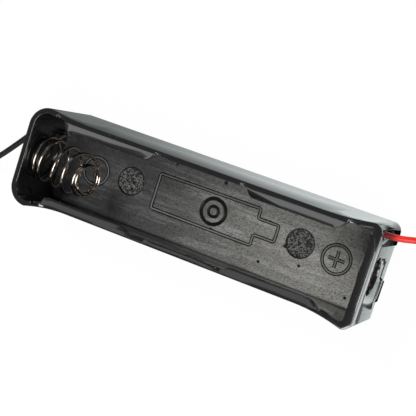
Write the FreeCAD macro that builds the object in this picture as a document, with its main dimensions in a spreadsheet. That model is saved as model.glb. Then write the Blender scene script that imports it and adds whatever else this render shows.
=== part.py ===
"""Single cell holder for an 18650 cell: a moulded tray with snap lips, a spring
contact at one end, a stamped contact at the other, and two wire leads.

Frame: origin at the middle of the base, +X towards the stamped (positive)
contact, +Y across the tray, +Z out of its open mouth. Millimetres.
"""
import FreeCAD, Part
import math
import os
import Sketcher
from FreeCAD import Placement, Rotation, Vector

doc = FreeCAD.newDocument("cell_holder")

# Driving sizes
SIZES = {
    # tray
    "body_length": 77.0,
    "body_width": 21.0,
    "body_height": 18.5,
    "floor_thickness": 1.8,
    "side_wall": 1.1,
    "spring_end_wall": 1.1,
    "contact_end_wall": 1.85,
    "spring_end_corner": 4.2,
    "contact_end_corner": 1.9,
    "contact_end_inner_corner": 0.2,
    "left_rim_draw": 0.85,
    "right_rim_draw": 1.45,
    "spring_end_draw_run": 14.0,
    "contact_end_draw_run": 12.0,
    "cove_radius": 1.6,
    "cell_diameter": 18.5,
    # snap lips on the long walls
    "left_lip_nose": 6.95,
    "right_lip_nose": 7.25,
    "left_lip_land": 0.85,
    "right_lip_land": 0.15,
    "lip_lead_in": 1.1,
    "lip_nose_height": 0.4,
    "lip_depth": 4.4,
    "lip_blunt_radius": 0.8,
    "lip_round_radius": 1.7,
    "lip_taper_length": 2.8,
    "lip_taper_depth": 1.9,
    "lip_overrun": 1.0,
    "spring_lip_from_end": 7.7,
    "spring_lip_length": 21.0,
    "contact_lip_from_end": 7.1,
    "contact_lip_length": 20.6,
    # notches in the rim beside the lips
    "notch_depth": 1.2,
    "notch_skin": 0.5,
    "notch_gap": 0.25,
    "corner_notch_length": 1.8,
    "spring_side_notch": 3.2,
    "contact_side_notch": 1.45,
    # marks on the floor
    "disc_radius": 3.0,
    "disc_from_end": 18.5,
    "disc_depth": 0.25,
    "gate_ring_radius": 3.15,
    "gate_land_radius": 2.35,
    "gate_pit_radius": 1.45,
    "gate_stub_radius": 0.8,
    "gate_depth": 0.8,
    # contact end wall
    "window_radius": 3.9,
    "end_recess_depth": 0.3,
    "end_recess_top": 14.8,
    "end_post_width": 4.4,
    "end_pad_start": -5.9,
    "end_pad_width": 4.5,
    "end_pad_height": 3.0,
    # stamped contact and its guides
    "plate_thickness": 0.3,
    "plate_width": 11.6,
    "plate_bottom": 3.2,
    "plate_top": 16.6,
    "plate_clearance": 0.05,
    "button_radius": 2.3,
    "button_flare": 0.7,
    "button_height": 0.9,
    "guide_width": 1.1,
    "guide_lip": 0.6,
    "guide_lip_thickness": 0.8,
    "guide_top": 10.0,
    "lug_height": 2.2,
    "lug_end_gap": 0.2,
    # spring
    "wire_diameter": 0.6,
    "spring_large": 10.0,
    "spring_small": 6.6,
    "spring_length": 13.5,
    "spring_lean": 1.3,
    "spring_tilt": 22.0,
    "spring_offset": -0.4,
    "wire_sides": 10,
    "wire_runs_per_turn": 12,
    "spigot_clearance": 0.4,
    "spigot_height": 1.4,
    "tail_from_wall": 1.5,
    # leads
    "lead_diameter": 1.25,
    "strand_diameter": 0.5,
    "tip_diameter": 0.8,
    "tip_length": 6.0,
    "coil_radius": 6.6,
    "coil_turns": 3,
    "lead_hole_clearance": 0.15,
    "lead_inside": 0.5,
    "strand_clearance": 0.05,
    "red_exit_inset": 1.75,
    "red_exit_drop": 3.1,
    "black_exit_inset": 5.2,
    "black_exit_z": 4.8,
    "joint_radius": 0.65,
    "joint_shift": 0.3,
}

sheet = doc.addObject("Spreadsheet::Sheet", "Sizes")
for row, (alias, value) in enumerate(SIZES.items(), start=1):
    sheet.set(f"A{row}", alias)
    sheet.set(f"B{row}", str(value))
    sheet.setAlias(f"B{row}", alias)
doc.recompute()


class Size:
    """A length that knows both its value and its expression in the sheet's names."""

    def __init__(self, value, text):
        self.value = value
        self.text = text

    @staticmethod
    def of(item):
        if isinstance(item, Size):
            return item
        return Size(float(item), f"({float(item)})")

    def _join(self, other, sign, value):
        return Size(value, f"({self.text} {sign} {Size.of(other).text})")

    def __add__(self, other):
        return self._join(other, "+", self.value + Size.of(other).value)

    def __sub__(self, other):
        return self._join(other, "-", self.value - Size.of(other).value)

    def __mul__(self, other):
        return self._join(other, "*", self.value * Size.of(other).value)

    def __truediv__(self, other):
        return self._join(other, "/", self.value / Size.of(other).value)

    def __neg__(self):
        return Size(-self.value, f"(-1 * {self.text})")


def size(alias):
    """The sheet's cell of that name."""
    return Size(float(sheet.get(alias)), f"Sizes.{alias}")


def number(alias):
    """The plain value of one cell, for shapes made from points."""
    return float(sheet.get(alias))


def bind(item, **properties):
    """Ties properties of an object to sheet expressions."""
    for name, value in properties.items():
        item.setExpression(name, Size.of(value).text)


def place(item, x, y, z, rotation=None):
    """Puts an object at a point that follows the sheet."""
    if rotation is not None:
        item.Placement = Placement(Vector(0, 0, 0), rotation)
    item.setExpression("Placement.Base.x", Size.of(x).text)
    item.setExpression("Placement.Base.y", Size.of(y).text)
    item.setExpression("Placement.Base.z", Size.of(z).text)


UP = Rotation(Vector(0, 0, 1), 0)
ALONG_X = Rotation(Vector(0, 1, 0), 90)
AGAINST_X = Rotation(Vector(0, 1, 0), -90)
SECTION_PLANE = Rotation(Vector(1, 1, 1), 120)


def make_box(name, x, y, z):
    """A box between two values along each axis."""
    item = doc.addObject("Part::Box", name)
    bind(item, Length=x[1] - x[0], Width=y[1] - y[0], Height=z[1] - z[0])
    place(item, x[0], y[0], z[0])
    return item


def make_cylinder(name, radius, height, base, rotation=UP):
    """A cylinder that rises from its base point along the rotated Z axis."""
    item = doc.addObject("Part::Cylinder", name)
    bind(item, Radius=radius, Height=height)
    place(item, *base, rotation)
    return item


def fuse(name, items):
    """One solid from several."""
    item = doc.addObject("Part::MultiFuse", name)
    item.Shapes = items
    return item


def cut(name, base, tool):
    """What is left of the base once the tool is taken out."""
    item = doc.addObject("Part::Cut", name)
    item.Base = base
    item.Tool = tool
    return item


def common(name, base, tool):
    """What the base and the tool share."""
    item = doc.addObject("Part::Common", name)
    item.Base = base
    item.Tool = tool
    return item


def extrude(name, sketch, direction, length):
    """A sketch drawn out along a direction."""
    item = doc.addObject("Part::Extrusion", name)
    item.Base = sketch
    item.DirMode = "Custom"
    item.Dir = direction
    item.Solid = True
    bind(item, LengthFwd=length)
    return item


def arc_between(start, end, radius, turn):
    """The short arc from start to end; turn is 1 to the left, -1 to the right."""
    chord = end - start
    half = chord.Length / 2
    side = Vector(-chord.y, chord.x, 0).normalize() * turn
    centre = start + chord * 0.5 + side * math.sqrt(max(radius**2 - half**2, 0))
    first, last = (start, end) if turn > 0 else (end, start)
    angles = [math.atan2(p.y - centre.y, p.x - centre.x) for p in (first, last)]
    circle = Part.Circle(centre, Vector(0, 0, 1), radius)
    return Part.ArcOfCircle(circle, angles[0], angles[1])


def fix_point(sketch, geometry, end, x, y):
    """Holds one end of a sketch line at a point that follows the sheet."""
    for axis, kind, value in ((-2, "DistanceX", x), (-1, "DistanceY", y)):
        if abs(value.value) < 1e-9:
            sketch.addConstraint(Sketcher.Constraint("PointOnObject", geometry, end, axis))
        else:
            rule = Sketcher.Constraint(kind, -1, 1, geometry, end, value.value)
            index = sketch.addConstraint(rule)
            sketch.setExpression(f"Constraints[{index}]", value.text)


def draw_profile(sketch, points, arcs=None):
    """Draws a closed outline. arcs gives a radius and a turn to some of its sides."""
    arcs = arcs or {}
    points = [(Size.of(x), Size.of(y)) for x, y in points]
    corners = [Vector(x.value, y.value, 0) for x, y in points]
    first = sketch.GeometryCount
    count = len(points)
    starts = {}
    ends = {}
    for side in range(count):
        start, end = corners[side], corners[(side + 1) % count]
        if side in arcs:
            radius, turn = arcs[side]
            curve = arc_between(start, end, Size.of(radius).value, turn)
            starts[side], ends[side] = (1, 2) if turn > 0 else (2, 1)
        else:
            curve = Part.LineSegment(start, end)
            starts[side], ends[side] = 1, 2
        sketch.addGeometry(curve, False)
    for side in range(count):
        after = (side + 1) % count
        joint = (first + side, ends[side], first + after, starts[after])
        sketch.addConstraint(Sketcher.Constraint("Coincident", *joint))
    for side in range(count):
        fix_point(sketch, first + side, starts[side], *points[side])
    for side, (radius, _) in arcs.items():
        rule = Sketcher.Constraint("Radius", first + side, Size.of(radius).value)
        index = sketch.addConstraint(rule)
        sketch.setExpression(f"Constraints[{index}]", Size.of(radius).text)


def make_sketch(name, z=0, rotation=UP, x=0):
    """A sketch of its own at a height, or on a section plane."""
    sketch = doc.addObject("Sketcher::SketchObject", name)
    place(sketch, x, 0, z, rotation)
    return sketch


half_length = size("body_length") / 2
half_width = size("body_width") / 2
rim = size("body_height")
floor = size("floor_thickness")
cell_axis = floor + size("cell_diameter") / 2
contact_face = half_length - size("contact_end_wall")
spring_face = -half_length + size("spring_end_wall")
flat_start = -half_length + size("spring_end_draw_run")
flat_end = half_length - size("contact_end_draw_run")
red_exit_y = half_width - size("red_exit_inset")
red_exit_z = rim - size("red_exit_drop")
black_exit_y = half_width - size("black_exit_inset")
tail_x = spring_face + size("tail_from_wall")
spring_lip_start = -half_length + size("spring_lip_from_end")
spring_lip_end = spring_lip_start + size("spring_lip_length")
contact_lip_end = half_length - size("contact_lip_from_end")
contact_lip_start = contact_lip_end - size("contact_lip_length")


def draw_tray_outline(sketch, side, spring_end, contact_end, share):
    """The tray's plan, set in by a wall on each side. The long sides are drawn in
    at mid length by a share of the rim's draw, along an arc at each end."""
    left = half_width - side
    right = -half_width + side
    back = -half_length + spring_end
    front = half_length - contact_end
    back_radius = size("spring_end_corner") - Size.of(spring_end)
    outer = Size.of(side).value == 0
    front_radius = size("contact_end_corner" if outer else "contact_end_inner_corner")
    left_draw = size("left_rim_draw") * share
    right_draw = size("right_rim_draw") * share
    points = [
        (back, right + back_radius),
        (back, left - back_radius),
        (back + back_radius, left),
        (flat_start, left - left_draw),
        (flat_end, left - left_draw),
        (front - front_radius, left),
        (front, left - front_radius),
        (front, right + front_radius),
        (front - front_radius, right),
        (flat_end, right + right_draw),
        (flat_start, right + right_draw),
        (back + back_radius, right),
    ]
    arcs = {
        1: (back_radius, -1),
        5: (front_radius, -1),
        7: (front_radius, -1),
        11: (back_radius, -1),
    }
    if Size.of(share).value == 1:
        back_run = flat_start - (back + back_radius)
        front_run = (front - front_radius) - flat_end
        for index, run, draw in (
            (2, back_run, left_draw),
            (4, front_run, left_draw),
            (8, front_run, right_draw),
            (10, back_run, right_draw),
        ):
            arcs[index] = ((run * run + draw * draw) / (draw * 2), 1)
    draw_profile(sketch, points, arcs)


def make_tray_loft(name, side, spring_end, contact_end, bottom):
    """A solid between two tray outlines, straight below and drawn in at the rim."""
    low = make_sketch(name + "_low", bottom)
    draw_tray_outline(low, side, spring_end, contact_end, Size.of(bottom) / rim)
    high = make_sketch(name + "_high", rim)
    draw_tray_outline(high, side, spring_end, contact_end, 1)
    loft = doc.addObject("Part::Loft", name)
    loft.Sections = [low, high]
    loft.Solid = True
    loft.Ruled = True
    return loft


def make_lips():
    """Four snap lips: blunt towards the spring, tapered towards the contact."""
    lips = []
    for side_name, flip, draw in (("left", 1, "left_rim_draw"), ("right", -1, "right_rim_draw")):
        section = make_sketch(f"lip_section_{side_name}", 0, SECTION_PLANE, -half_length)
        nose = size(f"{side_name}_lip_nose")
        land = half_width - size(draw) - size(f"{side_name}_lip_land")
        outside = half_width + size("lip_overrun")
        nose_top = rim - size("lip_lead_in")
        nose_foot = nose_top - size("lip_nose_height")
        foot = rim - size("lip_depth")
        wall = half_width - size("side_wall")
        profile = [
            (outside, rim),
            (land, rim),
            (nose, nose_top),
            (nose, nose_foot),
            (wall, foot),
            (outside, foot),
        ]
        draw_profile(section, [(y * flip, z) for y, z in profile])
        rail = extrude(f"lip_rail_{side_name}", section, Vector(1, 0, 0), size("body_length"))
        for end_name, corner, start, end in (
            ("spring", "lip_blunt_radius", spring_lip_start, spring_lip_end),
            ("contact", "lip_round_radius", contact_lip_start, contact_lip_end),
        ):
            taper = size("lip_taper_length")
            depth = size("lip_taper_depth")
            radius = size(corner)
            plan = make_sketch(f"lip_plan_{end_name}_{side_name}", foot)
            points = [
                (start, outside * flip),
                (start, (nose + radius) * flip),
                (start + radius, nose * flip),
                (end - taper, nose * flip),
                (end, (nose + depth) * flip),
                (end, outside * flip),
            ]
            bend = (taper * taper + depth * depth) / (depth * 2)
            draw_profile(plan, points, {1: (radius, flip), 3: (bend, flip)})
            block_name = f"lip_block_{end_name}_{side_name}"
            block = extrude(block_name, plan, Vector(0, 0, 1), size("lip_depth"))
            lips.append(common(f"lip_{end_name}_{side_name}", rail, block))
    return lips


def make_lead_ins():
    """Wedges that slope the rim down to the lips' noses: on the left over each lip,
    on the right over both lips and the wall between them."""
    lips = ((spring_lip_start, spring_lip_end), (contact_lip_start, contact_lip_end))
    whole = ((spring_lip_start, contact_lip_end),)
    wedges = []
    for side_name, flip, draw, spans in (
        ("left", 1, "left_rim_draw", lips),
        ("right", -1, "right_rim_draw", whole),
    ):
        nose = size(f"{side_name}_lip_nose")
        land = half_width - size(draw) - size(f"{side_name}_lip_land")
        profile = [
            (land, rim),
            (nose, rim - size("lip_lead_in")),
            (nose, rim + size("lip_overrun")),
            (land, rim + size("lip_overrun")),
        ]
        for index, (start, end) in enumerate(spans):
            section = make_sketch(f"lead_in_section_{side_name}_{index}", 0, SECTION_PLANE, start)
            draw_profile(section, [(y * flip, z) for y, z in profile])
            name = f"lead_in_{side_name}_{index}"
            wedges.append(extrude(name, section, Vector(1, 0, 0), end - start))
    return wedges


def make_coves():
    """A rounded foot where each long wall meets the floor."""
    coves = []
    radius = size("cove_radius")
    wall = half_width - size("side_wall")
    share = floor / rim
    for side_name, flip, draw in (("left", 1, "left_rim_draw"), ("right", -1, "right_rim_draw")):
        toe = wall - size(draw) * share
        section = make_sketch(f"cove_section_{side_name}", 0, SECTION_PLANE, spring_face)
        points = [
            ((toe - radius) * flip, floor),
            (toe * flip, floor + radius),
            (half_width * flip, floor + radius),
            (half_width * flip, floor),
        ]
        draw_profile(section, points, {0: (radius, flip)})
        coves.append(
            extrude(f"cove_{side_name}", section, Vector(1, 0, 0), contact_face - spring_face)
        )
    return coves


def make_notches(skin):
    """Short notches in the inner half of the rim, beside the lips."""
    gap = size("notch_gap")
    corner = size("corner_notch_length")
    spans = [
        (spring_lip_start - gap - corner, spring_lip_start - gap),
        (spring_lip_end + gap, spring_lip_end + size("spring_side_notch")),
        (contact_lip_start - size("contact_side_notch"), contact_lip_start - gap),
        (contact_lip_end + gap, contact_lip_end + gap + corner),
    ]
    blocks = [
        make_box(
            f"notch_block_{index}",
            span,
            (-half_width, half_width),
            (rim - size("notch_depth"), rim),
        )
        for index, span in enumerate(spans)
    ]
    return common("rim_notches", fuse("notch_blocks", blocks), skin)


def make_floor_marks():
    """Shallow round pockets: two stippled discs and the ring round the gate."""
    top = floor
    cutters = []
    for name, sign in (("disc_spring_end", -1), ("disc_contact_end", 1)):
        base = ((half_length - size("disc_from_end")) * sign, 0, top - size("disc_depth"))
        cutters.append(make_cylinder(name, size("disc_radius"), size("disc_depth"), base))
    depth = size("gate_depth")
    base = (0, 0, top - depth)
    for name, outer, inner in (
        ("gate_ring", "gate_ring_radius", "gate_land_radius"),
        ("gate_pit", "gate_pit_radius", "gate_stub_radius"),
    ):
        disc = make_cylinder(name + "_disc", size(outer), depth, base)
        core = make_cylinder(name + "_core", size(inner), depth, base)
        cutters.append(cut(name, disc, core))
    return cutters


def make_contact_end():
    """The window, the shallow recess with its pad, and the lead's hole."""
    recess = size("end_recess_depth")
    slab = make_box(
        "end_recess_slab",
        (half_length - recess, half_length),
        (-half_width, half_width - size("end_post_width")),
        (Size.of(0), size("end_recess_top")),
    )
    pad = make_box(
        "end_pad",
        (half_length - recess, half_length),
        (size("end_pad_start"), size("end_pad_start") + size("end_pad_width")),
        (Size.of(0), size("end_pad_height")),
    )
    window_base = (contact_face, 0, cell_axis)
    window = make_cylinder(
        "contact_window", size("window_radius"), size("contact_end_wall"), window_base, ALONG_X
    )
    hole_radius = size("lead_diameter") / 2 + size("lead_hole_clearance")
    hole_base = (contact_face, red_exit_y, red_exit_z)
    hole = make_cylinder("red_lead_hole", hole_radius, size("contact_end_wall"), hole_base, ALONG_X)
    return [cut("end_recess", slab, pad), window, hole]


def make_guides():
    """Two moulded guides that the stamped contact slides down behind."""
    guides = []
    depth = size("plate_thickness") + size("plate_clearance") * 2 + size("guide_lip_thickness")
    slot = size("plate_width") / 2 + size("plate_clearance")
    for name, sign in (("left", 1), ("right", -1)):
        low = slot * sign
        high = (slot + size("guide_width")) * sign
        inner = (slot - size("guide_lip")) * sign
        span = (low, high) if sign > 0 else (high, low)
        web = make_box(
            f"guide_web_{name}",
            (contact_face - depth, contact_face),
            span,
            (floor, size("guide_top")),
        )
        span = (inner, low) if sign > 0 else (low, inner)
        lip = make_box(
            f"guide_lip_{name}",
            (contact_face - depth, contact_face - depth + size("guide_lip_thickness")),
            span,
            (floor, size("guide_top")),
        )
        guides.append(fuse(f"guide_{name}", [web, lip]))
    return guides


def make_spigot():
    """The round boss that the spring's closed end sits on."""
    radius = size("spring_large") / 2 - size("wire_diameter") - size("spigot_clearance")
    base = (spring_face, size("spring_offset"), cell_axis)
    return make_cylinder("spring_spigot", radius, size("spigot_height"), base, ALONG_X)


def make_black_hole():
    """The hole in the spring end wall that the black lead leaves by."""
    radius = size("lead_diameter") / 2 + size("lead_hole_clearance")
    base = (-half_length, black_exit_y, size("black_exit_z"))
    return make_cylinder("black_lead_hole", radius, size("spring_end_wall"), base, ALONG_X)


def make_holder_body():
    """The one-piece moulded tray."""
    outer = make_tray_loft("tray_outer", 0, 0, 0, 0)
    cavity = make_tray_loft(
        "tray_cavity",
        size("side_wall"),
        size("spring_end_wall"),
        size("contact_end_wall"),
        floor,
    )
    skin_wall = size("notch_skin")
    skin = make_tray_loft("notch_skin_core", skin_wall, skin_wall, skin_wall, floor)
    shell = cut("tray_shell", outer, cavity)
    ribs = fuse("inner_ribs", make_lips() + make_coves() + make_guides() + [make_spigot()])
    inside = common("ribs_inside", ribs, outer)
    whole = fuse("tray_with_ribs", [shell, inside])
    cutters = make_floor_marks() + make_contact_end() + make_lead_ins()
    cutters += [make_black_hole(), make_notches(skin)]
    body = cut("holder_body", whole, fuse("tray_cutters", cutters))
    body.Refine = False
    return body


def body_sketch(body, name, role, distance=0):
    """A sketch on one of the body's own origin planes, at a distance along it."""
    sketch = body.newObject("Sketcher::SketchObject", name)
    plane = [p for p in body.Origin.OriginFeatures if p.Role == role][0]
    sketch.AttachmentSupport = [(plane, "")]
    sketch.MapMode = "FlatFace"
    sketch.setExpression("AttachmentOffset.Base.z", Size.of(distance).text)
    return sketch


def make_positive_contact():
    """The stamped plate with its pressed button and its solder lug."""
    body = doc.addObject("PartDesign::Body", "positive_contact")
    half = size("plate_width") / 2
    bottom = size("plate_bottom")
    top = size("plate_top")
    thickness = size("plate_thickness")
    lug_low = red_exit_z - size("lug_height") / 2
    lug_high = red_exit_z + size("lug_height") / 2
    lug_end = half_width - size("side_wall") - size("lug_end_gap")
    blank = body_sketch(body, "contact_blank", "YZ_Plane", contact_face - thickness)
    outline = [
        (-half, bottom),
        (half, bottom),
        (half, lug_low),
        (lug_end, lug_low),
        (lug_end, lug_high),
        (half, lug_high),
        (half, top),
        (-half, top),
    ]
    draw_profile(blank, outline)
    plate = body.newObject("PartDesign::Pad", "plate")
    plate.Profile = blank
    bind(plate, Length=thickness)
    doc.recompute()

    flare = size("button_radius") + size("button_flare")
    opening = body_sketch(body, "button_opening", "YZ_Plane", contact_face - thickness)
    draw_circle(opening, 0, cell_axis, flare)
    draw_circle(
        opening,
        red_exit_y,
        red_exit_z,
        size("strand_diameter") / 2 + size("strand_clearance"),
    )
    pocket = body.newObject("PartDesign::Pocket", "openings")
    pocket.Profile = opening
    pocket.Reversed = True
    bind(pocket, Length=thickness)
    doc.recompute()

    section = body_sketch(body, "button_section", "XZ_Plane")
    face = contact_face
    height = size("button_height")
    crown = size("button_radius")
    button_profile = [
        (face - thickness - height, cell_axis),
        (face - thickness - height, cell_axis + crown),
        (face - thickness, cell_axis + flare),
        (face, cell_axis + flare),
        (face, cell_axis + flare - thickness / 2),
        (face - height, cell_axis + crown - thickness / 2),
        (face - height, cell_axis),
    ]
    draw_profile(section, button_profile)
    button = body.newObject("PartDesign::Revolution", "button")
    button.Profile = section
    axis = make_datum_line(body, "button_axis")
    button.ReferenceAxis = (axis, [""])
    button.Angle = 360
    body.Tip = button
    return body


def make_datum_line(body, name):
    """A line along X at the height of the cell's axis."""
    line = body.newObject("PartDesign::Line", name)
    line.MapMode = "Deactivated"
    line.Placement = Placement(Vector(0, 0, 0), ALONG_X)
    line.setExpression("Placement.Base.z", cell_axis.text)
    return line


def draw_circle(sketch, x, y, radius):
    """A circle whose centre and radius follow the sheet."""
    x, y, radius = Size.of(x), Size.of(y), Size.of(radius)
    circle = Part.Circle(Vector(x.value, y.value, 0), Vector(0, 0, 1), radius.value)
    index = sketch.addGeometry(circle, False)
    fix_point(sketch, index, 3, x, y)
    rule = Sketcher.Constraint("Radius", index, radius.value)
    sketch.setExpression(f"Constraints[{sketch.addConstraint(rule)}]", radius.text)


def make_feature(name, shape):
    """A sub-part whose shape comes from points and curves."""
    item = doc.addObject("Part::Feature", name)
    placement = shape.Placement
    item.Shape = shape
    item.Placement = placement
    return item


def sweep_round(path, diameter):
    """A round section carried along a path of edges."""
    edge = path.Edges[0]
    start = edge.valueAt(edge.FirstParameter)
    tangent = edge.tangentAt(edge.FirstParameter)
    circle = Part.Wire([Part.Circle(start, tangent, diameter / 2).toShape()])
    return path.makePipeShell([circle], True, False)


def tangent_arc(start, tangent, end):
    """The arc that leaves a point along a tangent and ends at another point."""
    chord = end - start
    unit = chord.normalize()
    length = (end - start).Length
    along = tangent.dot(unit)
    across = (tangent - unit * along).normalize()
    lift = length / 2 * math.tan(math.acos(along) / 2)
    return Part.Arc(start, (start + end) * 0.5 + across * lift, end)


def spring_points():
    """Points along the spring's wire: two closed turns, open turns, a neck, and
    a small closed end. The last return value is the tangent at the start."""
    wire = number("wire_diameter")
    base = spring_face.value + wire / 2
    reach_length = number("spring_length") - wire
    large = (number("spring_large") - wire) / 2
    small = (number("spring_small") - wire) / 2
    turns = (0, 1.5, 4.0, 4.6, 6.5)
    reach = (0, 0.14, 0.80, 0.90, 1)
    radii = (large, large, large, small, small)
    start_angle = -60
    tilt_start = 0.55
    tilt_run = 0.3

    def level(turn, values):
        for index in range(len(turns) - 1):
            if turn <= turns[index + 1]:
                part = (turn - turns[index]) / (turns[index + 1] - turns[index])
                return values[index] + (values[index + 1] - values[index]) * part
        return values[-1]

    points = []
    runs = number("wire_runs_per_turn")
    axis_x = base
    axis_z = cell_axis.value
    last_share = 0
    for step in range(round(turns[-1] * runs) + 1):
        turn = step / runs
        share = level(turn, reach)
        bend = min(max((share - tilt_start) / tilt_run, 0), 1)
        tilt = math.radians(number("spring_tilt")) * bend
        axis_x += (share - last_share) * reach_length * math.cos(tilt)
        axis_z += (share - last_share) * reach_length * math.sin(tilt)
        last_share = share
        angle = math.radians(start_angle - 360 * turn)
        across = level(turn, radii) * math.cos(angle)
        upward = level(turn, radii) * math.sin(angle)
        x = axis_x - upward * math.sin(tilt)
        y = number("spring_offset") - number("spring_lean") * share + across
        z = axis_z + upward * math.cos(tilt)
        points.append(Vector(x, y, z))
    turned = math.radians(start_angle)
    return points, Vector(0, math.sin(turned), -math.cos(turned))


def make_negative_spring():
    """The coil spring, in short straight runs, with a tail that leaves its first
    turn for the black lead."""
    wire = number("wire_diameter")
    points, tangent = spring_points()
    tail_end = Vector(tail_x.value, black_exit_y.value, number("black_exit_z") + wire)
    tail = tangent_arc(points[0], tangent * -1, tail_end).toShape().discretize(Number=6)
    path = Part.makePolygon(list(reversed(tail)) + points[1:])
    forward = (tail[-2] - tail[-1]).normalize()
    aside = forward.cross(Vector(1, 0, 0)).normalize()
    upward = forward.cross(aside)
    sides = int(number("wire_sides"))
    corners = []
    for side in range(sides + 1):
        angle = 2 * math.pi * side / sides
        corners.append(tail_end + (aside * math.cos(angle) + upward * math.sin(angle)) * (wire / 2))
    section = Part.makePolygon(corners)
    return make_feature("negative_spring", path.makePipeShell([section], True, False, 1))


def rounded_route(points, least):
    """Straight runs joined by tangent arcs as large as the runs allow."""
    edges = []
    radii = []
    last = points[0]
    for before, corner, after in zip(points, points[1:], points[2:]):
        back = before - corner
        on = after - corner
        short = min(back.Length, on.Length)
        back_unit = back / back.Length
        on_unit = on / on.Length
        half_turn = (math.pi - back_unit.getAngle(on_unit)) / 2
        setback = 0.45 * short
        radii.append(setback / math.tan(half_turn))
        start = corner + back_unit * setback
        end = corner + on_unit * setback
        inward = (back_unit + on_unit).normalize()
        depth = radii[-1] / math.cos(half_turn) - radii[-1]
        edges.append(Part.LineSegment(last, start).toShape())
        edges.append(Part.Arc(start, corner + inward * depth, end).toShape())
        last = end
    edges.append(Part.LineSegment(last, points[-1]).toShape())
    print("bend radii", [round(r, 2) for r in radii], "least allowed", least)
    return Part.Wire(edges)


def make_lead(name, points):
    """The lead from its joint to its coil, checked against section times length."""
    diameter = number("lead_diameter")
    path = rounded_route([Vector(*p) for p in points], 5 * diameter)
    tube = sweep_round(path, diameter)
    expected = math.pi * diameter**2 / 4 * path.Length
    print(name, "length", round(path.Length, 2), "volume share", round(tube.Volume / expected, 4))
    return make_feature(name, tube)


def make_lead_coil(name, end, heading):
    """The outer shape of the put-away turns, open where the lead comes on at the
    top and where its end leaves at the bottom. Wound to the right."""
    diameter = number("lead_diameter")
    radius = number("coil_radius")
    turns = int(number("coil_turns"))
    height = diameter * turns
    ring = Part.makeCylinder(radius + diameter / 2, height)
    ring = ring.cut(Part.makeCylinder(radius - diameter / 2, height))
    gap_length = radius + diameter
    gap_width = 3 * diameter
    low = radius - 2 * diameter
    entry_corner = Vector(-gap_length, low, height - diameter)
    entry = Part.makeBox(gap_length, gap_width + diameter, diameter, entry_corner)
    leave = Part.makeBox(gap_length, gap_width + diameter, diameter, Vector(0, low, 0))
    shape = ring.cut(entry).cut(leave)
    angle = math.degrees(math.atan2(heading[1], heading[0]))
    turn = Rotation(Vector(0, 0, 1), angle)
    centre = Vector(end[0], end[1], 0) - turn.multVec(Vector(0, radius, 0))
    shape.Placement = Placement(centre, turn)
    return make_feature(name, shape)


def make_lead_tip(name, end, heading):
    """The stripped and tinned end, which leaves the coil along the floor."""
    direction = Vector(heading[0], heading[1], 0).normalize()
    start = Vector(end[0], end[1], number("lead_diameter") / 2)
    shape = Part.makeCylinder(number("tip_diameter") / 2, number("tip_length"), start, direction)
    return make_feature(name, shape)


def make_joint(name, centre, radius, holes, flat=None):
    """A blob of solder with the wires' own holes in it."""
    blob = Part.makeSphere(radius, centre)
    if flat is not None:
        keep = Part.makeBox(2 * radius, 4 * radius, 4 * radius)
        keep.translate(Vector(flat - 2 * radius, centre.y - 2 * radius, centre.z - 2 * radius))
        blob = blob.common(keep)
    for hole in holes:
        blob = blob.cut(hole)
    return make_feature(name, blob)


coil_layer = number("lead_diameter") * (number("coil_turns") - 0.5)


def route_from(start, steps):
    """A lead's points from steps along X and Y and a share of the drop to its coil."""
    x, y, z = start
    return [start] + [
        (x + along, y + aside, coil_layer + share * (z - coil_layer))
        for along, aside, share in steps
    ]


# Routes of the leads, chosen by hand
red_start = (contact_face.value, red_exit_y.value, red_exit_z.value)
RED_ROUTE = route_from(
    red_start,
    [
        (3.95, 0, 1),
        (7.55, 0.85, 0.935),
        (10.95, 1.6, 0.723),
        (13.75, 2.1, 0.43),
        (16.75, 2.4, 0.15),
        (20.75, 2.5, 0),
        (24.75, 2.5, 0),
    ],
)
black_inside = spring_face.value + number("lead_inside")
black_start = (black_inside, black_exit_y.value, number("black_exit_z"))
BLACK_ROUTE = route_from(
    black_start,
    [
        (-3.7, 0, 1),
        (-7.1, -1.6, 1),
        (-9.9, -5.0, 0.88),
        (-13.7, -9.2, 0.58),
        (-18.1, -13.2, 0),
        (-22.1, -16.9, 0),
    ],
)


def heading_of(route):
    """The plan direction of a route's last run."""
    return (route[-1][0] - route[-2][0], route[-1][1] - route[-2][1])


holder_body = make_holder_body()
positive_contact = make_positive_contact()
negative_spring = make_negative_spring()
parts = [holder_body, positive_contact, negative_spring]

for colour, route in (("red", RED_ROUTE), ("black", BLACK_ROUTE)):
    parts.append(make_lead(f"{colour}_lead", route))
    parts.append(make_lead_coil(f"{colour}_lead_coil", route[-1], heading_of(route)))
    parts.append(make_lead_tip(f"{colour}_lead_tip", route[-1], heading_of(route)))

# Stripped strands and solder at each contact
strand = number("strand_diameter") / 2
joint = number("joint_radius")
red_front = contact_face.value - number("plate_thickness")
red_strands = Part.makeCylinder(
    strand, number("plate_thickness") + 0.6 * joint, Vector(*red_start), Vector(-1, 0, 0)
)
parts.append(make_feature("red_strands", red_strands))
red_centre = Vector(red_front, red_start[1] - number("joint_shift"), red_start[2])
parts.append(make_joint("positive_solder", red_centre, joint, [red_strands], red_front))

black_centre = Vector(
    tail_x.value - number("wire_diameter") / 3,
    black_exit_y.value,
    number("black_exit_z") + number("wire_diameter") / 2,
)
black_strands = Part.makeCylinder(strand, joint, Vector(*black_start), Vector(1, 0, 0))
parts.append(make_feature("black_strands", black_strands))
doc.recompute()
parts.append(
    make_joint("negative_solder", black_centre, joint, [black_strands, negative_spring.Shape])
)

doc.recompute()
for item in doc.Objects:
    if "Invalid" in item.State or "Error" in item.State:
        raise RuntimeError(f"{item.Name} failed: {item.State}")

os.makedirs("parts", exist_ok=True)
for part in parts:
    part.Label = part.Name
    shape = part.Shape
    if shape.isNull() or not shape.isValid():
        raise RuntimeError(f"{part.Label} has no valid shape")
    print(part.Label, "solids", len(shape.Solids), "volume", round(shape.Volume, 2))
    shape.exportStep(f"parts/{part.Label}.step")
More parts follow.
